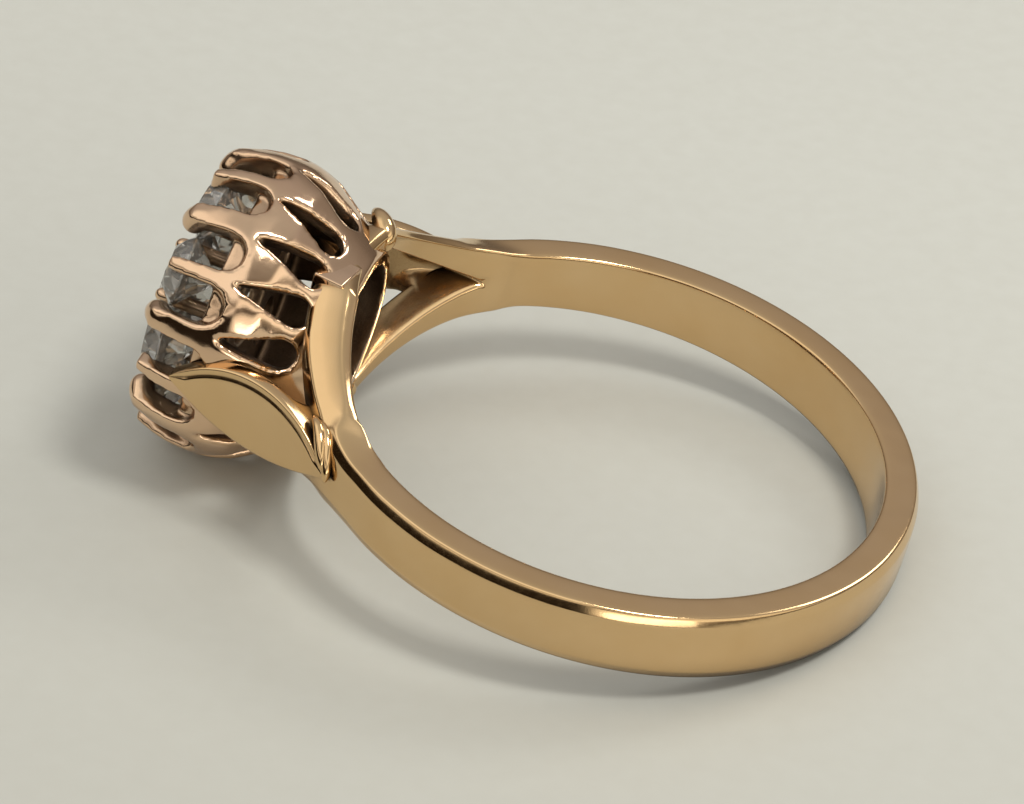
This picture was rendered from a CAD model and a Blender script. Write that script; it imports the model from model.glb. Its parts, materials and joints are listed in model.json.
# %% [markdown]
# # A gold cluster ring that lies on its side
# The ring has a flat-sided yellow gold band, shoulders that split into two branches, a leaf
# plate on each side and a rosier head: a pierced bell with claws that hold nine round stones.
# The exact solids come first, as a fixed frame. Blender then makes the same shapes with the
# soft edges, the rounded claws and the polish of hand-made jewellery.

# %% Load the frame
import json
import math

import bmesh
import bpy
from mathutils import Matrix, Vector

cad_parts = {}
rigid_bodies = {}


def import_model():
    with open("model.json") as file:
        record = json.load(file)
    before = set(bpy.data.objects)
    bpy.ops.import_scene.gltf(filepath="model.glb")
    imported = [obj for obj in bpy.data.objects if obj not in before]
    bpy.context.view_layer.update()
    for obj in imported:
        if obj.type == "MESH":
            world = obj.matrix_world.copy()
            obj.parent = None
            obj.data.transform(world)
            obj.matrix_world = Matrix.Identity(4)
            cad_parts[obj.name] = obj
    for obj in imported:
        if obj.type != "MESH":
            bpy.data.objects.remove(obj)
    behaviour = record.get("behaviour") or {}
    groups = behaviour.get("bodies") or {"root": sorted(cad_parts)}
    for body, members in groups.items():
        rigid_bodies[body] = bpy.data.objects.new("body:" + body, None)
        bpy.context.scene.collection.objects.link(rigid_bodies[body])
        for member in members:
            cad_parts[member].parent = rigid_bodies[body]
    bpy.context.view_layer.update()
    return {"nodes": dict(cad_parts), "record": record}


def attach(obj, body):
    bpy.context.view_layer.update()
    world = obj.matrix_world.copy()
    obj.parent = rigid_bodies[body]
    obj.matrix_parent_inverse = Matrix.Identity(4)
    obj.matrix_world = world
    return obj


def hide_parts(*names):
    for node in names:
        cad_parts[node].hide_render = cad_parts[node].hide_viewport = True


for obj in list(bpy.data.objects):
    bpy.data.objects.remove(obj)
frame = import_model()
print("solids:", sorted(frame["nodes"]))

# %% [markdown]
# ## One set of coordinates for every piece
# A goldsmith thinks of a ring upright on its own finger axis, in millimetres. Every piece below
# is drawn that way: the finger axis is Z and the head points to -X. One matrix then makes it
# metres and lays it where the real ring lies. The finger hole's own entry in the record says
# where the middle of the ring is and how far it leans, so nothing is fitted by eye.

# %% Where the ring lies
MM = 0.001
bore = frame["record"]["mounts"][0]
ring_centre = Vector(bore["pos_m"])
lean = math.atan2(bore["axis"][0], bore["axis"][2])
AT_REST = Matrix.Translation(ring_centre) @ Matrix.Rotation(lean, 4, "Y") @ Matrix.Scale(MM, 4)
print(f"ring centre {ring_centre.x / MM:.2f}, {ring_centre.z / MM:.2f} mm,",
      f"lean {math.degrees(lean):.2f} degrees")

# %% [markdown]
# ## The sizes of the band and the head
# These repeat the driving sizes of the solids, in millimetres, so the smooth surfaces keep
# their form. SIDE_R is the radius of the flat side faces' outer edge and BAND_R that of the
# domed outside. The bell's outline is a short table: share of the head's height, and share of
# the way from the foot's radius to the widest radius. The head is drawn upright on its own axis,
# and ON_HEAD lays it on the ring.

# %% Driving sizes
FINGER_R = bore["dims"]["r_mm"]
SIDE_R = FINGER_R + 0.93
BAND_R = FINGER_R + 1.17
BACK_W = 2.44
SIDE_W = 2.2
FOOT_H = FINGER_R + 0.2
HEAD_H = 5.5
FOOT_R = 3.1
BELLY_R = 4.94
HEAD_TURN = -4.5
STONES = 8
STEP = 360 / STONES
BELL = [(0, 0), (0.19, 0.41), (0.41, 0.84), (0.53, 0.96),
        (0.64, 1), (0.76, 0.99), (0.87, 0.93), (1, 0.8)]
ON_HEAD = (Matrix.Rotation(math.radians(-90), 4, "Y") @ Matrix.Translation((0, 0, FOOT_H))
           @ Matrix.Rotation(math.radians(HEAD_TURN), 4, "Z"))


def bell_radius(z):
    """Radius of the head's outside at a height over its foot, read off the table."""
    share = min(max(z / HEAD_H, 0), 1)
    for (low, r_low), (high, r_high) in zip(BELL, BELL[1:]):
        if share <= high:
            spread = r_low + (r_high - r_low) * (share - low) / (high - low)
            return FOOT_R + spread * (BELLY_R - FOOT_R)


print(f"head: {2 * BELLY_R:.1f} mm across, {HEAD_H} mm high")

# %% [markdown]
# ## Small helpers
# A bmesh becomes an object, modifiers are added and then baked, and the finished mesh is moved
# into place with its object left at the origin. Baking keeps the export simple, and it lets a
# later step work on the result of an earlier one. Where a form has to start and stop without a
# crease, its share is eased.

# %% Helpers for pieces
def piece_from(bm, name):
    """Makes an object of a bmesh and frees the bmesh."""
    bmesh.ops.recalc_face_normals(bm, faces=bm.faces)
    mesh = bpy.data.meshes.new(name)
    bm.to_mesh(mesh)
    bm.free()
    obj = bpy.data.objects.new(name, mesh)
    bpy.context.scene.collection.objects.link(obj)
    return obj


def add_modifier(obj, kind, **settings):
    """Adds one modifier with its settings."""
    modifier = obj.modifiers.new(kind.title(), kind)
    for key, value in settings.items():
        setattr(modifier, key, value)


def bake(obj, place=None):
    """Turns the modifiers into plain mesh and, where a place is given, moves the mesh there."""
    graph = bpy.context.evaluated_depsgraph_get()
    mesh = bpy.data.meshes.new_from_object(obj.evaluated_get(graph))
    obj.modifiers.clear()
    if place is not None:
        mesh.transform(place)
    mesh.name = obj.name
    obj.data = mesh


def cut_away(obj, cutter):
    """Cuts one solid out of another and throws the cutter away."""
    add_modifier(obj, "BOOLEAN", operation="DIFFERENCE", solver="EXACT", object=cutter,
                 use_self=True)
    bake(obj)
    bpy.data.objects.remove(cutter)


def finish_piece(obj, material):
    """Shades a piece smooth, gives it its material and lets it ride on the ring's one body."""
    for polygon in obj.data.polygons:
        polygon.use_smooth = True
    obj.data.materials.clear()
    obj.data.materials.append(material)
    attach(obj, "root")
    print(f"{obj.name}: {len(obj.data.polygons)} faces")


def clamp(share):
    """A share, kept between 0 and 1."""
    return min(max(share, 0), 1)


def ease(value, start, end):
    """0 at start, 1 at end, level at both and smooth between."""
    share = clamp((value - start) / (end - start))
    return share * share * (3 - 2 * share)


print("a quarter of the way, eased:", ease(0.25, 0, 1))

# %% [markdown]
# ## Colours and nodes
# Jewellers' colours are easiest to write as sRGB hex values, and shaders want them linear, so
# one function turns them. A second one adds any node with its settings and its links.

# %% Helpers for materials
def linear(hex_colour):
    """sRGB hex such as #E8C48A to linear RGBA."""
    parts = [int(hex_colour[i:i + 2], 16) / 255 for i in (1, 3, 5)]
    return [c / 12.92 if c <= 0.04045 else ((c + 0.055) / 1.055) ** 2.4 for c in parts] + [1]


def add_node(tree, kind, inputs=None, **settings):
    """Adds a node. Each input is linked if it is given a socket, and else set to the value."""
    node = tree.nodes.new(kind)
    for key, value in settings.items():
        setattr(node, key, value)
    for key, value in (inputs or {}).items():
        if isinstance(value, bpy.types.NodeSocket):
            tree.links.new(value, node.inputs[key])
        else:
            node.inputs[key].default_value = value
    return node


def new_material(name):
    """An empty node material and its Principled shader."""
    material = bpy.data.materials.new(name)
    material.use_nodes = True
    return material, material.node_tree, material.node_tree.nodes["Principled BSDF"]


print("mid grey is", round(linear("#808080")[0], 3), "in linear light")

# %% [markdown]
# ## Polished gold, yellow and rose
# Old gold of about 14 carats is cast or rolled, filed and polished on a wheel. The eye gets
# three things from that: a clear colour in each reflection, a surface that is not quite even,
# so that reflections swim, and rubs and very fine wheel marks that spread the highlights. The
# metal keeps Blender's default IOR. Two slightly different golds are mixed in patches of about
# 2 mm, and the unevenness has waves of about 1.4 mm. The rubs change the gloss over half a
# millimetre. The wheel marks are drawn 0.05 mm apart, a little coarser than real ones, so that
# they still show. No wheel reaches into the slots and behind the claws, so soap and wear leave a
# dull brown film there. It is mixed in where metal within a few millimetres closes a surface in,
# and it fades out where the wheel could reach.

# %% Gold
PATCH = 2 * MM
WAVE = 1.4 * MM
RUB = 0.5 * MM
MARK = 0.05 * MM
MARK_DEPTH = 0.0006 * MM
FILM = "#1C1008"
CLOSED = 0.3


def gold(name, light, deep, roughness, wave_depth, reach, open_from, own_walls):
    """A polished gold of two tones. Its waves are wave_depth mm deep. The film fills what metal
    within its reach in mm closes in, from CLOSED to open_from, where 1 is open to all sides. With
    own_walls only the piece's own metal counts."""
    material, tree, shader = new_material(name)
    place = add_node(tree, "ShaderNodeTexCoord").outputs["Object"]
    patches = add_node(tree, "ShaderNodeTexNoise",
                       {"Vector": place, "Scale": 1 / PATCH, "Detail": 3})
    tone = add_node(tree, "ShaderNodeMix",
                    {"Factor": patches.outputs["Fac"], "A": linear(light), "B": linear(deep)},
                    data_type="RGBA")
    openness = add_node(tree, "ShaderNodeAmbientOcclusion", {"Distance": reach * MM}, samples=8,
                        only_local=own_walls)
    film = add_node(tree, "ShaderNodeMapRange",
                    {"Value": openness.outputs["AO"], "From Min": CLOSED, "From Max": open_from,
                     "To Min": 0.97, "To Max": 0})
    aged = add_node(tree, "ShaderNodeMix",
                    {"Factor": film.outputs["Result"], "A": tone.outputs["Result"],
                     "B": linear(FILM)}, data_type="RGBA")
    tree.links.new(aged.outputs["Result"], shader.inputs["Base Color"])
    rubs = add_node(tree, "ShaderNodeTexNoise",
                    {"Vector": place, "Scale": 1 / RUB, "Detail": 6, "Roughness": 0.7})
    gloss = add_node(tree, "ShaderNodeMapRange",
                     {"Value": rubs.outputs["Fac"], "From Min": 0.35, "From Max": 0.7,
                      "To Min": roughness, "To Max": roughness * 1.9})
    dulled = add_node(tree, "ShaderNodeMix",
                      {"Factor": film.outputs["Result"], "A": gloss.outputs["Result"], "B": 0.5})
    tree.links.new(dulled.outputs["Result"], shader.inputs["Roughness"])
    swim = add_node(tree, "ShaderNodeTexNoise", {"Vector": place, "Scale": 1 / WAVE, "Detail": 1})
    marks = add_node(tree, "ShaderNodeTexNoise", {"Vector": place, "Scale": 1 / MARK, "Detail": 2})
    waves = add_node(tree, "ShaderNodeBump",
                     {"Height": swim.outputs["Fac"], "Distance": wave_depth * MM,
                      "Strength": 1.0})
    fine = add_node(tree, "ShaderNodeBump",
                    {"Height": marks.outputs["Fac"], "Distance": MARK_DEPTH, "Strength": 1.0,
                     "Normal": waves.outputs["Normal"]})
    tree.links.new(fine.outputs["Normal"], shader.inputs["Normal"])
    shader.inputs["Metallic"].default_value = 1
    return material


yellow_gold = gold("yellow_gold_polished", "#DFC094", "#D6B27F", roughness=0.085,
                   wave_depth=0.02, reach=3, open_from=0.68, own_walls=False)
rose_gold = gold("rose_gold_polished", "#E8CAA9", "#D8B391", roughness=0.07,
                 wave_depth=0.06, reach=7, open_from=0.8, own_walls=True)
print("golds:", yellow_gold.name, rose_gold.name)

# %% [markdown]
# ## Clear stones
# Old-cut diamonds bend light strongly, with an IOR of about 2.42, and look clear to grey with
# dark and bright facets. They are glass to the shader, with almost no roughness and the cloudy
# grey that a film of wear behind them gives. Their IOR and transmission are set a little under
# those of a clean stone, because the ones in the photo are softer and less clear.

# %% Stone
CLOUD = 0.8 * MM


def clear_stone():
    """A clear stone with soft grey clouds in it."""
    material, tree, shader = new_material("clear_stone")
    place = add_node(tree, "ShaderNodeTexCoord").outputs["Object"]
    cloud = add_node(tree, "ShaderNodeTexNoise",
                     {"Vector": place, "Scale": 1 / CLOUD, "Detail": 2})
    tint = add_node(tree, "ShaderNodeMix",
                    {"Factor": cloud.outputs["Fac"], "A": linear("#E6E5E0"),
                     "B": linear("#C6C5BF")}, data_type="RGBA")
    tree.links.new(tint.outputs["Result"], shader.inputs["Base Color"])
    shader.inputs["Transmission Weight"].default_value = 0.85
    shader.inputs["Roughness"].default_value = 0.01
    shader.inputs["IOR"].default_value = 2.1
    return material


stone_material = clear_stone()
print("stones:", stone_material.name)

# %% [markdown]
# ## The band and its branches
# On the real ring this is one strip of gold. It is swept: a half cross-section is extruded from
# station to station, from the back of the ring to the middle of the head. Up to the split the
# half section ends at the band's middle plane. From there on it lifts off that plane and closes
# under itself, which makes the upper branch. Four such quarters, turned over and welded, give the
# whole shank, and a subdivision surface rounds it, while close pairs of edges keep the side faces
# flat and the bevels narrow. One quarter has the small step that a file left inside its branch.
# The curves below give the branches' edges at each distance Y to the side of the head.

# %% Curves that the shoulders follow
SPLIT_Y = FINGER_R * math.sin(math.radians(44.5))
FLARE_DEG = 51
FLARE_Y = 7.0
FOOT_Y = 1.98
FLARE_HALF_W = 3.3
GAP_HALF_W = 2.6
FRONT_R = FINGER_R + 1.5
BRANCH_R = FINGER_R + 0.45
BRANCH_DEG = 50
FLARE_START = 0.92
FLARE_BEND = 1.35


def band_half_width(x):
    """Half width of the band, which tapers evenly from its back towards the head."""
    return SIDE_W / 2 + (BACK_W - SIDE_W) / 2 * x / SIDE_R


def flare_height(y):
    """Height of the shoulders' upper edge. It bends up, then runs level past the head. It starts
    a little below the band's own edge, so that it comes out of it without a kink."""
    start = FLARE_START * SIDE_W / 2
    share = clamp((FLARE_Y - y) / (FLARE_Y - FOOT_Y))
    return start + (FLARE_HALF_W - start) * share ** FLARE_BEND


def gap_height(y):
    """Half the height of the gap between the branches. Its edge is straight, as a saw cuts it."""
    return GAP_HALF_W * clamp((SPLIT_Y - y) / (SPLIT_Y - FOOT_Y))


def off_centre(y, front, start_r, start_deg):
    """X of a circle that leaves the one of start_r at start_deg and is front mm out at Y = 0."""
    move = (front - start_r) / (1 - math.cos(math.radians(start_deg)))
    return -move - math.sqrt((front - move) ** 2 - y * y)


print(f"half heights at the head: gap {gap_height(0):.2f} mm, flare {flare_height(0):.2f} mm")

# %% Stations round the quarter of the ring
BACK_TURNS = [180 - 6 * i for i in range(19)]
SHOULDER_TURNS = [(68, 0.3), (64, 0.8), (60, 1.6), (57, 2.5), (54, 3.4), (52, 4.2), (50, 4.9),
                  (48, 5.6), (46.2, 6.1)]
BRANCH_YS = [SPLIT_Y, 5.85, 5.7, 5.54, 5.46, 5.25, 4.9, 4.4, 3.8, 3.2, 2.7, 2.3, 2.05, 1.9, 1.6,
             1.2, 0.6, 0]
NOTCH_Y = 5.5
NOTCH_INSIDE = 0.25
NOTCH_OUTSIDE = 0.18
INSIDE_FADE = 2
OUTSIDE_FADE = 1.5
STEP_FADE = 2


def branch_inside(y):
    """X of the branches' inside."""
    return off_centre(y, BRANCH_R, FINGER_R, BRANCH_DEG)


def branch_outside(y):
    """X of the branches' outside."""
    return off_centre(y, FRONT_R, BAND_R, FLARE_DEG)


def station(turn, skew=0):
    """Inner and outer point at an angle from the head. The outer one runs ahead by skew."""
    near, far = math.radians(turn), math.radians(turn - skew)
    y_in, y_out = FINGER_R * math.sin(near), BAND_R * math.sin(far)
    x_in = branch_inside(y_in) if turn < BRANCH_DEG else -FINGER_R * math.cos(near)
    x_out = branch_outside(y_out) if turn - skew < FLARE_DEG else -BAND_R * math.cos(far)
    return (x_in, y_in), (x_out, y_out)


def branch_station(y, notched):
    """Past the split a station is a plane across the finger, as the gap's faces are. The notched
    branch was filed less, so it is thicker, and a small step is left inside where the file
    stopped. The extra metal fades out towards the middle of the head, and outside also towards
    the step."""
    x_in, x_out = branch_inside(y), branch_outside(y)
    if notched and y < NOTCH_Y:
        x_in = -math.sqrt((BRANCH_R - NOTCH_INSIDE * min(y / INSIDE_FADE, 1)) ** 2 - y * y)
        x_out -= NOTCH_OUTSIDE * min(y / OUTSIDE_FADE, 1, (NOTCH_Y - y) / STEP_FADE)
    return (x_in, y), (x_out, y)


def all_stations(notched):
    """Stations from the back of the ring to the middle of the head."""
    return ([station(turn) for turn in BACK_TURNS]
            + [station(turn, skew) for turn, skew in SHOULDER_TURNS]
            + [branch_station(y, notched) for y in BRANCH_YS])


print(len(all_stations(False)), "stations")

# %% Half section at a station
EDGE = 0.05
BAND_TOP = [(0.815, 0), (0.855, 0.025), (0.965, 0.3), (0.985, 0.36)]
BRANCH_TOP = [(0.22, -0.06), (0.34, -0.055), (0.72, 0.06), (0.94, 0.2)]
WIDEN_FROM_Y = 6.3
WIDEN_TO_Y = 5.1
INNER_DROP = 0.09
LATE_RISE = 0.9
DOME_ON_BAND = 0.62
DOME_ON_BRANCH = 0.38
HOLD_INSIDE = 0.3
HOLD_OUTSIDE = 0.15


def half_section(inner, outer, notched=False):
    """Half a section: up the inside, over the flat side face, down the bevel and the outside.

    The two tables give the bevel on the band and the wide one on the branches, as shares of the
    thickness and depths in mm below the side face. From WIDEN_FROM_Y to WIDEN_TO_Y the first
    turns into the second. On a branch the inner edge stays a little below the outer one, and on
    the notched branch it starts to rise LATE_RISE mm later. Under the bevel the outside swells a
    little, down to a share of the height on the band and to a depth in mm on a branch. On the
    band the section ends at the middle plane, where low is 0, and two points hold its inside and
    outside flat at shares of the height. On a branch low is the gap's edge, and they lie just
    above it."""
    def at(share, z):
        return Vector((inner[0] + share * (outer[0] - inner[0]),
                       inner[1] + share * (outer[1] - inner[1]), z))

    def top(share):
        p = at(share, 0)
        on_band = band_half_width(p.x)
        return max(on_band, flare_height(p.y)) if p.x < 0 else on_band

    head_side = inner[0] < 0
    low = gap_height(inner[1]) if head_side and inner[1] <= SPLIT_Y else 0
    branch = ease(inner[1], WIDEN_FROM_Y, WIDEN_TO_Y) if head_side else 0
    late = ease(inner[1], NOTCH_Y, NOTCH_Y + LATE_RISE) if notched and head_side else 0
    wall = top(1) - low
    thin = EDGE / math.dist(inner, outer)
    hollow = INNER_DROP * branch + late * (top(0) - band_half_width(inner[0]))
    points = [at(0, low), at(0, low + EDGE if low > 0 else HOLD_INSIDE * wall),
              at(0, top(0) - EDGE - hollow), at(thin, top(thin) - hollow)]
    for (on_band, band_drop), (on_branch, branch_drop) in zip(BAND_TOP, BRANCH_TOP):
        share = on_band + (on_branch - on_band) * branch
        points.append(at(share, top(share) - band_drop - (branch_drop - band_drop) * branch))
    dome = DOME_ON_BAND * wall + (DOME_ON_BRANCH - DOME_ON_BAND * wall) * branch
    return points + [at(1, top(1) - dome),
                     at(1, low + EDGE if low > 0 else HOLD_OUTSIDE * wall), at(1, low)]


print("points in a half section:", len(half_section(*station(180))))

# %% Sweep four quarters and weld them
def extrude_loop(bm, loop):
    """Extrudes a closed loop of points and gives back the new loop, in the same order."""
    pairs = zip(loop, loop[1:] + loop[:1])
    edges = [bm.edges.get(pair) or bm.edges.new(pair) for pair in pairs]
    grown = set(bmesh.ops.extrude_edge_only(bm, edges=edges)["geom"])
    return [next(e.other_vert(v) for e in v.link_edges if e.other_vert(v) in grown) for v in loop]


def add_quarter(bm, side, level, notched=False):
    """Sweeps one quarter and turns it over to its own side (1 or -1 in Y) and level (in Z)."""
    old = set(bm.verts)
    first, *others = all_stations(notched)
    loop = [bm.verts.new(p) for p in half_section(*first, notched)]
    for ends in others:
        loop = extrude_loop(bm, loop)
        for v, p in zip(loop, half_section(*ends, notched)):
            v.co = p
    fresh = [v for v in bm.verts if v not in old]
    on_plane = {v for v in fresh if abs(v.co.z) < 1e-6}
    flat = [f for f in bm.faces if all(v in on_plane for v in f.verts)]
    bmesh.ops.scale(bm, vec=(1, side, level), verts=fresh)
    bmesh.ops.delete(bm, geom=flat, context="FACES")


bm = bmesh.new()
add_quarter(bm, 1, 1)
add_quarter(bm, 1, -1)
add_quarter(bm, -1, 1, notched=True)
add_quarter(bm, -1, -1)
bmesh.ops.remove_doubles(bm, verts=bm.verts, dist=1e-4)
shank = piece_from(bm, "shank")
add_modifier(shank, "SUBSURF", levels=2, render_levels=2)
bake(shank, AT_REST)
finish_piece(shank, yellow_gold)

# %% [markdown]
# ## The head: a pierced bell
# A coronet head like this is turned or cast as a bell, then arches are sawn down from its rim
# between the claws and teardrop slots are pierced below each claw. The bell's outline is spun
# round the head's axis. One arch cutter and one slot cutter are extruded from flat outlines and
# repeated round it, and a Boolean takes them away. A sawyer works by eye, so a few slots sit some
# degrees off their even places.

# %% Spin the bell
WALL = 0.75
FOOT_WALL = 0.45
ARCH_LOW = 3.3
ROUND = 96
LAYERS = 22


def wall_at(z):
    """The bell's wall is thin at its foot and full from the arches up."""
    return FOOT_WALL + (WALL - FOOT_WALL) * min(z / ARCH_LOW, 1)


def spun(points, name):
    """Closed outline of (radius, height) points turned once round Z."""
    bm = bmesh.new()
    loop = [bm.verts.new((r, 0, z)) for r, z in points]
    edges = [bm.edges.new(pair) for pair in zip(loop, loop[1:] + loop[:1])]
    bmesh.ops.spin(bm, geom=loop + edges, axis=(0, 0, 1), cent=(0, 0, 0), steps=ROUND,
                   angle=math.tau, use_merge=True, use_duplicate=False)
    bmesh.ops.remove_doubles(bm, verts=bm.verts, dist=1e-5)
    return piece_from(bm, name)


heights = [HEAD_H * i / LAYERS for i in range(LAYERS + 1)]
outside = [(bell_radius(z), z) for z in heights]
inside = [(bell_radius(z) - wall_at(z), z) for z in reversed(heights)]
head = spun(outside + inside, "head")
print("bell:", len(head.data.polygons), "faces")

# %% Cutters for the arches and the slots
ARCH_W = 1.22
ARCH_SHIFT = 0.233
SLOT_R = 0.48
SLOT_Z = 1.4
SLOT_TIP = 3.4
SLOT_OFF = {0: -6, 1: -5.5, 2: -4, 3: -2, 13: 1.8, 15: -3}
CUT_FROM = 1.5
CUT_DEPTH = 5


def cutter(outline, turns, name):
    """Extrudes a flat outline (across, up) outwards from the axis and repeats it at each turn."""
    bm = bmesh.new()
    for turn in turns:
        spin = Matrix.Rotation(math.radians(turn), 4, "Z")
        verts = [bm.verts.new(spin @ Vector((CUT_FROM, across, up))) for across, up in outline]
        face = bm.faces.new(verts)
        grown = bmesh.ops.extrude_face_region(bm, geom=[face])["geom"]
        bmesh.ops.translate(bm, verts=[g for g in grown if isinstance(g, bmesh.types.BMVert)],
                            vec=spin @ Vector((CUT_DEPTH, 0, 0)))
    return piece_from(bm, name)


def arc(radius, start, end, count, middle):
    """Points on an arc, in degrees, about a middle at that height."""
    turns = [math.radians(start + (end - start) * i / (count - 1)) for i in range(count)]
    return [(radius * math.cos(t), middle + radius * math.sin(t)) for t in turns]


half = ARCH_W / 2
over = HEAD_H + 1
arch_shape = arc(half, 180, 360, 13, ARCH_LOW + half) + [(half, over), (-half, over)]
# The teardrop's straight sides touch its round foot where they lean by this angle.
tilt = math.degrees(math.asin(SLOT_R / (SLOT_TIP - SLOT_Z)))
slot_shape = arc(SLOT_R, 180 - tilt, 360 + tilt, 17, SLOT_Z) + [(0, SLOT_TIP)]
arch_turns = [(i + side * ARCH_SHIFT) * STEP for i in range(STONES) for side in (-1, 1)]
slot_turns = [i * STEP / 2 + SLOT_OFF.get(i, 0) for i in range(2 * STONES)]
cut_away(head, cutter(arch_shape, arch_turns, "arches"))
cut_away(head, cutter(slot_shape, slot_turns, "slots"))
print("pierced bell:", len(head.data.polygons), "faces")

# %% [markdown]
# ## Claws and the soft cast look
# The claws end in rounded nubs that were pushed over the stones. Each one is a short chain of
# balls that overlap. The nubs, the pierced plate under the stones and the posts round the middle
# stone are joined to the bell and remeshed as one skin of small squares, so everything flows
# together as solder and polishing make it flow. Smoothing then rounds every sawn edge. The exact
# solids keep these edges sharp, because there they are only the form. PITCH_R, OUTER_R and
# CENTRE_R are the radii of the circle of stones, of an outer stone and of the middle stone.

# %% Nubs, plate and posts
PITCH_R = 3.16
OUTER_R = 1.14
CENTRE_R = 1.7
MAIN_NUB = [(4.43, 4.6, 0.36), (4.42, 4.9, 0.37), (4.34, 5.15, 0.38), (4.15, 5.32, 0.40),
            (3.95, 5.37, 0.42)]
SMALL_NUB = [(4.55, 4.4, 0.24), (4.52, 4.7, 0.25), (4.43, 4.95, 0.26), (4.25, 5.15, 0.27),
             (4.08, 5.28, 0.26)]
BALLS_BETWEEN = 4
POST_PITCH_R = 2.17
POST_R = 0.26
POST_Z = (3.5, 5.75)
POST_BALL_Z = 5.78
PLATE_Z = (3.41, 3.91)
PLATE_R = (CENTRE_R * 0.72, 4.5)
HOLE_PITCH_R = PITCH_R - OUTER_R / 4
HOLE_R = OUTER_R * 0.68
HOLE_Z = (3, 4.5)


def ball(bm, turn, r, z, radius):
    """A ball at a turn round the head's axis, r mm out and z mm up."""
    place = Matrix.Rotation(math.radians(turn), 4, "Z") @ Matrix.Translation((r, 0, z))
    bmesh.ops.create_icosphere(bm, subdivisions=3, radius=radius, matrix=place)


def chain(bm, turn, balls):
    """Overlapping balls between each two of a list of (mm out, mm up, radius)."""
    for (r0, z0, s0), (r1, z1, s1) in zip(balls, balls[1:]):
        for k in range(BALLS_BETWEEN):
            t = k / BALLS_BETWEEN
            ball(bm, turn, r0 + t * (r1 - r0), z0 + t * (z1 - z0), s0 + t * (s1 - s0))
    ball(bm, turn, *balls[-1])


def rod(bm, turn, r, low, high, radius):
    """An upright rod at a turn round the head's axis, r mm out, from low to high."""
    place = (Matrix.Rotation(math.radians(turn), 4, "Z")
             @ Matrix.Translation((r, 0, (low + high) / 2)))
    bmesh.ops.create_cone(bm, cap_ends=True, segments=24, radius1=radius, radius2=radius,
                          depth=high - low, matrix=place)


bm = bmesh.new()
for i in range(STONES):
    chain(bm, (i + 0.5) * STEP, MAIN_NUB)
    chain(bm, i * STEP, SMALL_NUB)
    rod(bm, (i + 0.5) * STEP, POST_PITCH_R, *POST_Z, POST_R)
    ball(bm, (i + 0.5) * STEP, POST_PITCH_R, POST_BALL_Z, POST_R)
nubs = piece_from(bm, "nubs")

plate = spun([(PLATE_R[0], PLATE_Z[0]), (PLATE_R[1], PLATE_Z[0]),
              (PLATE_R[1], PLATE_Z[1]), (PLATE_R[0], PLATE_Z[1])], "plate")
bm = bmesh.new()
for i in range(STONES):
    rod(bm, i * STEP, HOLE_PITCH_R, *HOLE_Z, HOLE_R)
cut_away(plate, piece_from(bm, "plate_holes"))
print("nubs:", len(nubs.data.polygons), "faces")

# %% One skin for the head
VOXEL = 0.08
SMOOTHINGS = 14


def join(target, others):
    """Puts the meshes of the others into the target's and throws the others away."""
    bm = bmesh.new()
    for obj in [target] + others:
        bm.from_mesh(obj.data)
    bm.to_mesh(target.data)
    bm.free()
    for obj in others:
        bpy.data.objects.remove(obj)


join(head, [nubs, plate])
add_modifier(head, "REMESH", mode="VOXEL", voxel_size=VOXEL, adaptivity=0)
add_modifier(head, "SMOOTH", factor=0.5, iterations=SMOOTHINGS)
bake(head)
print("head skin:", len(head.data.polygons), "faces")

# %% [markdown]
# ## Cut the seats
# A setter cuts a seat for each stone with a bur, so that the stone drops in and the nubs close
# over its edge. The cutter here is a turned shape, a little larger than the stone. Its sizes
# are shares of the stone's radius: how far the pavilion reaches down and the crown up from the
# girdle, half the girdle's thickness, and how wide the table and the culet are.

# %% Seats
OUTER_Z = 5.2
OUTER_LEAN = 12
CENTRE_Z = 5.45
STONE_GAP = 0.05
PAVILION = 0.86
CROWN = 0.42
GIRDLE = 0.03
TABLE = 0.54
CULET = 0.1


def seat(bm, r, place):
    """The cutter for a stone of radius r, spun round the stone's own axis."""
    big = r + STONE_GAP
    girdle = GIRDLE * r + STONE_GAP
    profile = [(0, -girdle - PAVILION * big), (CULET * big, -girdle - PAVILION * big),
               (big, -girdle), (big, girdle),
               (TABLE * big, girdle + CROWN * big), (0, girdle + CROWN * big)]
    loop = [bm.verts.new(place @ Vector((x, 0, z))) for x, z in profile]
    edges = [bm.edges.new(pair) for pair in zip(loop, loop[1:])]
    axis = (place.to_3x3() @ Vector((0, 0, 1))).normalized()
    bmesh.ops.spin(bm, geom=loop + edges, axis=axis, cent=place.translation, steps=48,
                   angle=math.tau, use_merge=True, use_duplicate=False)


bm = bmesh.new()
for i in range(STONES):
    seat(bm, OUTER_R, Matrix.Rotation(math.radians(i * STEP), 4, "Z")
         @ Matrix.Translation((PITCH_R, 0, OUTER_Z))
         @ Matrix.Rotation(math.radians(OUTER_LEAN), 4, "Y"))
seat(bm, CENTRE_R, Matrix.Translation((0, 0, CENTRE_Z)))
bmesh.ops.remove_doubles(bm, verts=bm.verts, dist=1e-4)
seats = piece_from(bm, "seats")
add_modifier(head, "BOOLEAN", operation="DIFFERENCE", solver="MANIFOLD", object=seats)
bake(head, AT_REST @ ON_HEAD)
bpy.data.objects.remove(seats)
finish_piece(head, rose_gold)
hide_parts("mount")

# %% [markdown]
# ## The leaf plates
# A leaf is sawn from sheet, hollowed a little, and given a rolled border along its upper edge. It
# starts as a grid. Its rows run along the leaf, from the tip at the head to the tail on the band,
# and lie closer together at the border. Each point is moved onto a wide arc that leans against
# the bell. On the near leaf the border ends in a small curled drop, and a seam of solder runs
# beside it along the band. Both are tubes whose radius swells and closes again.

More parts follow.
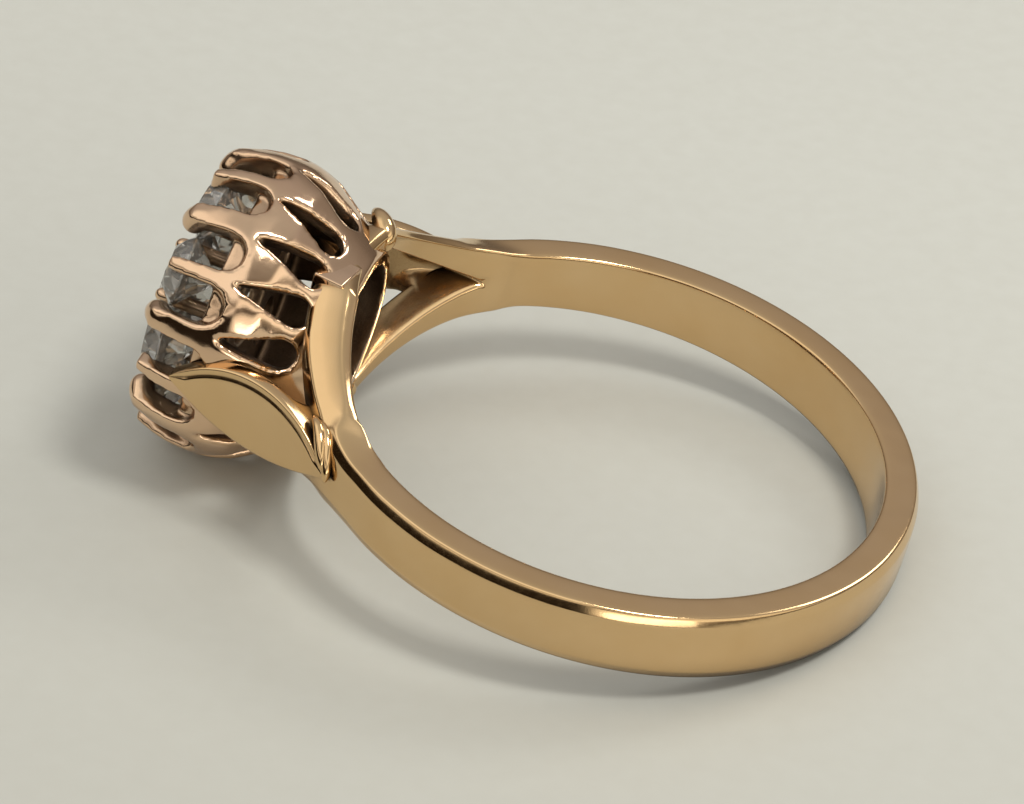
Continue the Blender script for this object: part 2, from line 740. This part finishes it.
# %% The leaf's arc and outline
LEAF_TAIL = Vector((-7.136, 6.891, 0))
LEAF_TIP = Vector((-13.0, 5.0, 0))
LEAF_SAG = 0.47
LEAF_HALF_W = 1.32
LEAF_T = 0.5
ROOT_T = 0.9
ROOT_Z = 1.02
chord = (LEAF_TIP - LEAF_TAIL).length
along = (LEAF_TIP - LEAF_TAIL) / chord
arc_r = chord * chord / (8 * LEAF_SAG) + LEAF_SAG / 2
outwards = Vector((along.y, -along.x, 0))
arc_middle = (LEAF_TIP + LEAF_TAIL) / 2 + outwards * (arc_r - LEAF_SAG)
print(f"leaf: {chord:.2f} mm long on an arc of {arc_r:.1f} mm")

# %% Shape a leaf from a grid
BORDER = [(0, 0.12), (0.03, 0.04), (0.07, 0), (0.23, 0.015), (0.265, 0.035), (0.3, 0.13),
          (0.325, 0.18), (0.37, 0.165), (0.46, 0.11)]
BORDER_FITS = 0.5
FACE_ROWS = 12
FACE_DEEP = 0.1
LOW_EDGE = 0.1
LOW_EDGE_DROP = 0.06
COLUMNS = 56
LEAF_REACH = 0.985
TIP_HALF_W = 0.02
ROOT_FROM, ROOT_TO = -0.3, -0.8
RIM_FROM, RIM_RUN = 0.2, 0.5


def leaf_row(row, rows, half_w):
    """Height of a row and how deep its surface lies, from the border's table or on the flat face.

    The table holds (down from the upper edge, depth) in mm. Where the leaf is narrower than
    BORDER_FITS to each side, near its ends, the border shrinks with it. The last tenth of the
    face drops a little towards the lower edge."""
    squeeze = min(1, half_w / BORDER_FITS)
    if row < len(BORDER):
        down, deep = BORDER[row]
        return half_w - down * squeeze, deep * squeeze
    share = (row - len(BORDER) + 1) / (rows - len(BORDER))
    top = half_w - BORDER[-1][0] * squeeze
    drop = LOW_EDGE_DROP * max(share - 1 + LOW_EDGE, 0) / LOW_EDGE
    return top + (-half_w - top) * share, (FACE_DEEP + drop) * squeeze


def make_leaf(name, side):
    """The plate as a grid of (along, across), extruded to its thickness and then laid on the arc.

    Towards the tail, from ROOT_FROM to ROOT_TO along the leaf, the plate thickens near its rims
    and its inner outline climbs to ROOT_Z, where the band's bevel is, so that the leaf seems to
    grow out of the band."""
    rows = len(BORDER) + FACE_ROWS
    bm = bmesh.new()
    bmesh.ops.create_grid(bm, x_segments=COLUMNS, y_segments=rows - 1, size=1)
    grown = bmesh.ops.extrude_face_region(bm, geom=bm.faces[:])["geom"]
    inner = {g for g in grown if isinstance(g, bmesh.types.BMVert)}
    middle_x = (LEAF_TAIL.x + LEAF_TIP.x) / 2
    half_l = (LEAF_TIP.x - LEAF_TAIL.x) / 2
    outline_r = half_l * half_l / (2 * LEAF_HALF_W) + LEAF_HALF_W / 2
    for v in bm.verts:
        share = LEAF_REACH * math.sin(v.co.x * math.pi / 2)
        row = round((1 - v.co.y) / 2 * (rows - 1))
        x = middle_x + share * half_l
        bow = math.sqrt(outline_r ** 2 - (share * half_l) ** 2) - outline_r
        half_w = max(bow + LEAF_HALF_W, TIP_HALF_W)
        z, deep = leaf_row(row, rows, half_w)
        if v in inner:
            root = ease(share, ROOT_FROM, ROOT_TO)
            rim = clamp((abs(z) / half_w - RIM_FROM) / RIM_RUN)
            deep = LEAF_T + ROOT_T * root * rim
            z += root * (ROOT_Z - half_w) * z / half_w
        y = arc_middle.y - math.sqrt((arc_r + deep) ** 2 - (x - arc_middle.x) ** 2)
        v.co = Vector((x, side * y, z))
    leaf = piece_from(bm, name)
    add_modifier(leaf, "SUBSURF", levels=1, render_levels=1)
    bake(leaf, AT_REST)
    finish_piece(leaf, yellow_gold)
    return leaf


leaf_near = make_leaf("leaf_near", -1)
leaf_far = make_leaf("leaf_far", 1)

# %% The curled tail of the near leaf
CURL = [((-8.25, 5.6, 1.08), 0.04), ((-8.05, 5.8, 1.12), 0.13), ((-7.85, 6.02, 1.06), 0.18),
        ((-7.67, 6.27, 0.88), 0.21), ((-7.52, 6.5, 0.64), 0.2), ((-7.39, 6.68, 0.42), 0.17),
        ((-7.29, 6.8, 0.24), 0.1), ((-7.26, 6.84, 0.18), 0.02)]
SEAM = [((-8.0, 5.62, 1.05), 0.03), ((-7.78, 5.85, 1.07), 0.12), ((-7.58, 6.06, 1), 0.16),
        ((-7.42, 6.28, 0.84), 0.18), ((-7.3, 6.5, 0.62), 0.18), ((-7.2, 6.68, 0.4), 0.17),
        ((-7.13, 6.8, 0.2), 0.16), ((-7.1, 6.88, 0), 0.14), ((-7.08, 6.93, -0.14), 0.03)]


def add_tube(bm, path, flip=(1, 1, 1)):
    """A round tube along (point, radius) pairs: a circle extruded from point to point. A -1 in
    flip mirrors the path along that axis."""
    flipped = Matrix.Diagonal(flip)
    points = [flipped @ Vector(point) for point, radius in path]
    loop = bmesh.ops.create_circle(bm, segments=12, radius=1)["verts"]
    spots = [v.co.copy() for v in loop]
    for i, (point, (_, radius)) in enumerate(zip(points, path)):
        along = points[min(i + 1, len(points) - 1)] - points[max(i - 1, 0)]
        face = Matrix.Translation(point) @ along.to_track_quat("Z", "X").to_matrix().to_4x4()
        if i > 0:
            loop = extrude_loop(bm, loop)
        for v, spot in zip(loop, spots):
            v.co = face @ (spot * radius)
    bmesh.ops.holes_fill(bm, edges=[e for e in bm.edges if e.is_boundary], sides=0)


def finish_tubes(bm, name):
    """Rounds the tubes, lays them on the ring and finishes them as one yellow piece."""
    tubes = piece_from(bm, name)
    add_modifier(tubes, "SUBSURF", levels=1, render_levels=1)
    bake(tubes, AT_REST)
    finish_piece(tubes, yellow_gold)
    return tubes


bm = bmesh.new()
for path in (CURL, SEAM):
    add_tube(bm, path, flip=(1, -1, 1))
curl = finish_tubes(bm, "leaf_curl")

# %% [markdown]
# ## Small blocks over the joints
# Where the branches meet above and below the head's foot, the goldsmith left a small flat block
# on the near side to hold the solder. It is a cube whose edges are bevelled a little. On the far
# side a lump of yellow solder ran over the joint and drew out to a point, so that is a tube that
# swells and closes, as the leaf's drop is.

# %% Blocks and solder
BLOCK_AT = (-9.46, -1.32, 3.075)
BLOCK_SIZE = (1.02, 1.3, 0.65)
BLOCK_TURN = -8
BLOCK_EDGE = 0.07
LUMP = [((-9.75, 2.95, 3.02), 0.03), ((-9.62, 2.75, 3.2), 0.15), ((-9.45, 2.5, 3.28), 0.27),
        ((-9.22, 2.25, 3.24), 0.36), ((-9.0, 2.0, 3.1), 0.4), ((-8.85, 1.8, 2.9), 0.34),
        ((-8.8, 1.7, 2.72), 0.2), ((-8.8, 1.66, 2.62), 0.04)]


def make_block(name, level):
    """The block on the upper (1) or lower (-1) branches, turned with the branch's curve."""
    bm = bmesh.new()
    x, y, z = BLOCK_AT
    lie = (Matrix.Translation((x, y, level * z)) @ Matrix.Rotation(math.radians(BLOCK_TURN), 4, "Z")
           @ Matrix.Diagonal((*BLOCK_SIZE, 1)))
    bmesh.ops.create_cube(bm, size=1, matrix=lie)
    bmesh.ops.bevel(bm, geom=bm.edges[:], offset=BLOCK_EDGE, offset_type="OFFSET", segments=6,
                    profile=0.5, affect="EDGES", material=-1)
    block = piece_from(bm, name)
    bake(block, AT_REST)
    finish_piece(block, rose_gold)
    return block


def make_lump(name, level):
    """The solder lump on the upper (1) or lower (-1) branches."""
    bm = bmesh.new()
    add_tube(bm, LUMP, flip=(1, 1, level))
    return finish_tubes(bm, name)


joints = []
for where, level in (("top", 1), ("low", -1)):
    joints.append(make_block(f"block_{where}", level))
    joints.append(make_lump(f"solder_{where}", level))
for piece in [shank, leaf_near, leaf_far, curl] + joints:
    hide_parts("mount")

# %% [markdown]
# ## The stones
# The stones are exact solids already: a table, crown, girdle and pavilion of flat facets. They
# only need their material and flat shading, so each facet stays a small mirror.

# %% Stones
for name, node in frame["nodes"].items():
    if name.startswith("stone"):
        for slot in node.material_slots:
            slot.material = stone_material
        print(name, "has", len(node.data.polygons), "triangles")

# %% [markdown]
# ## Table and lights
# The ring was photographed on pale card, a shade greyer towards the viewer, with a soft lamp high
# on the right, which gives the narrow shadow inside the band, and a weaker light from the back.
# A low strip lamp on the right makes the light part of the near bevel shine.

# %% Floor
PULP = 0.8 * MM
FAR_Y, NEAR_Y = 24 * MM, -26 * MM
FLOOR_HALF_W = 0.6


def pale_card():
    """Matt card with fine pulp that turns a shade greyer from FAR_Y to NEAR_Y."""
    material, tree, shader = new_material("pale_card")
    place = add_node(tree, "ShaderNodeTexCoord").outputs["Object"]
    pulp = add_node(tree, "ShaderNodeTexNoise", {"Vector": place, "Scale": 1 / PULP, "Detail": 4})
    tone = add_node(tree, "ShaderNodeMix",
                    {"Factor": pulp.outputs["Fac"], "A": linear("#CED0C9"),
                     "B": linear("#C7C8C0")}, data_type="RGBA")
    split = add_node(tree, "ShaderNodeSeparateXYZ", {"Vector": place})
    nearer = add_node(tree, "ShaderNodeMapRange",
                      {"Value": split.outputs["Y"], "From Min": FAR_Y, "From Max": NEAR_Y})
    greyer = add_node(tree, "ShaderNodeMath", {0: nearer.outputs["Result"], 1: 0.55},
                      operation="MULTIPLY")
    shaded = add_node(tree, "ShaderNodeMix",
                      {"Factor": greyer.outputs["Value"], "A": tone.outputs["Result"],
                       "B": linear("#B5B5AC")}, data_type="RGBA")
    tree.links.new(shaded.outputs["Result"], shader.inputs["Base Color"])
    shader.inputs["Roughness"].default_value = 0.6
    return material


bm = bmesh.new()
bmesh.ops.create_grid(bm, x_segments=2, y_segments=2, size=FLOOR_HALF_W)
floor = piece_from(bm, "floor")
floor.data.materials.append(pale_card())
print("floor:", floor.data.materials[0].name)

# %% Lights
AIM = Vector((0, 0, 0.004))
LAMP_COLOUR = "#FFFCF6"


def soft_light(name, place, size, power):
    """A rectangular lamp at a place, turned to the ring."""
    data = bpy.data.lights.new(name, "AREA")
    data.shape = "RECTANGLE"
    data.size, data.size_y = size
    data.energy = power
    data.color = linear(LAMP_COLOUR)[:3]
    lamp = bpy.data.objects.new(name, data)
    lamp.location = place
    lamp.visible_camera = False
    lamp.rotation_euler = (AIM - Vector(place)).to_track_quat("-Z", "Y").to_euler()
    bpy.context.scene.collection.objects.link(lamp)
    print(f"{name}: {power} W, {(Vector(place) - AIM).length:.2f} m away")


soft_light("window", (0.138, -0.05, 0.295), (0.072, 0.072), 0.41)
soft_light("second", (0.118, 0.175, 0.177), (0.08, 0.08), 0.115)
soft_light("low_strip", (0.183, -0.235, 0.037), (0.16, 0.045), 0.05)

# %% [markdown]
# ## The room that the gold mirrors
# Polished metal shows what it faces, so the room matters as much as the ring. At the back is a
# plain wall that grows lighter with height. In front the room is dark on the left, where the
# viewer stands, and bright low down on the right: that gives the dark strip and the light one
# along the near bevel. The bright and dark bands of the right side lie on the ribs of the head
# as their highlights.
#
# The room is only colour. Four ramps say how each side of it changes with the height of the
# direction in which it is seen, from 0 at the horizon to 1 overhead. The front left is the start.
# Each other side covers it where the direction turns there: TURNS gives the axis, and where along
# it the new side begins and where it is full.

# %% The sides of the room
TOP = "#B3B3B1"
SIDES = {
    "front_left": [(0, "#1E1812"), (0.3, "#221B14"), (0.4, "#EFE9DF"), (0.5, "#6A625A"),
                   (0.6, "#F8F4EE"), (0.9, "#F4F0EA"), (1, TOP)],
    "front_right": [(0, "#8A8276"), (0.1, "#FFF8EA"), (0.26, "#FFF8EA"), (0.35, "#4E473F"),
                    (0.41, "#544C44"), (0.47, "#FFF9EE"), (0.56, "#F6F0E4"), (0.64, "#6E675F"),
                    (1, TOP)],
    "right": [(0, "#3A342C"), (0.1, "#8A8276"), (0.16, "#FFF8EA"), (0.33, "#FFF8EA"),
              (0.4, "#6E675F"), (0.46, "#FFF9EE"), (0.6, "#F6F0E4"), (0.7, "#9A958E"), (1, TOP)],
    "back": [(0, "#5F574F"), (0.3, "#827C78"), (0.6, "#A19D9D"), (1, TOP)],
}
TURNS = [("front_right", "X", 0.24, 0.4), ("right", "X", 0.5, 0.75), ("back", "Y", -0.1, 0.35)]
print("room:", ", ".join(SIDES))

# %% Room
world = bpy.data.worlds.new("room")
world.use_nodes = True
bpy.context.scene.world = world
tree = world.node_tree
toward = add_node(tree, "ShaderNodeTexCoord").outputs["Generated"]
split = add_node(tree, "ShaderNodeSeparateXYZ", {"Vector": toward})
colours = {}
for side, stops in SIDES.items():
    ramp = add_node(tree, "ShaderNodeValToRGB", {"Fac": split.outputs["Z"]})
    spots = ramp.color_ramp.elements
    for i, (position, colour) in enumerate(stops):
        spot = spots[i] if i < len(spots) else spots.new(position)
        spot.position, spot.color = position, linear(colour)
    colours[side] = ramp.outputs["Color"]
room = colours["front_left"]
for side, axis, start, end in TURNS:
    turned = add_node(tree, "ShaderNodeMapRange",
                      {"Value": split.outputs[axis], "From Min": start, "From Max": end},
                      interpolation_type="SMOOTHSTEP")
    room = add_node(tree, "ShaderNodeMix",
                    {"Factor": turned.outputs["Result"], "A": room, "B": colours[side]},
                    data_type="RGBA").outputs["Result"]
tree.links.new(room, tree.nodes["Background"].inputs["Color"])
tree.nodes["Background"].inputs["Strength"].default_value = 1.3
print("room:", len(tree.nodes), "nodes")

# %% [markdown]
# ## The camera at the photo's angle
# The camera stands about 145 mm away, and its long lens gives the photo's narrow frame. Where it
# stands, in mm, and how it is turned come from fitting the band's circles to its edges in the
# photo.

# %% Camera
VIEW_FROM = (30.93, -115.90, 81.89)
VIEW_ALONG = Vector((-0.2208, 0.8082, -0.5460))
VIEW_UP = Vector((-0.2223, 0.5034, 0.8350))
LENS = 162.6
data = bpy.data.cameras.new("camera")
data.lens = LENS
data.sensor_width = 36
data.clip_start = 0.001
camera = bpy.data.objects.new("camera", data)
right = VIEW_ALONG.cross(VIEW_UP).normalized()
up = right.cross(VIEW_ALONG).normalized()
turn = Matrix((right, up, -VIEW_ALONG.normalized())).transposed()
camera.matrix_world = Matrix.Translation(Vector(VIEW_FROM) * MM) @ turn.to_4x4()
bpy.context.scene.collection.objects.link(camera)
bpy.context.scene.camera = camera
bpy.context.scene.view_settings.view_transform = "Standard"
print(f"camera: {LENS} mm lens, {Vector(VIEW_FROM).length:.0f} mm away")
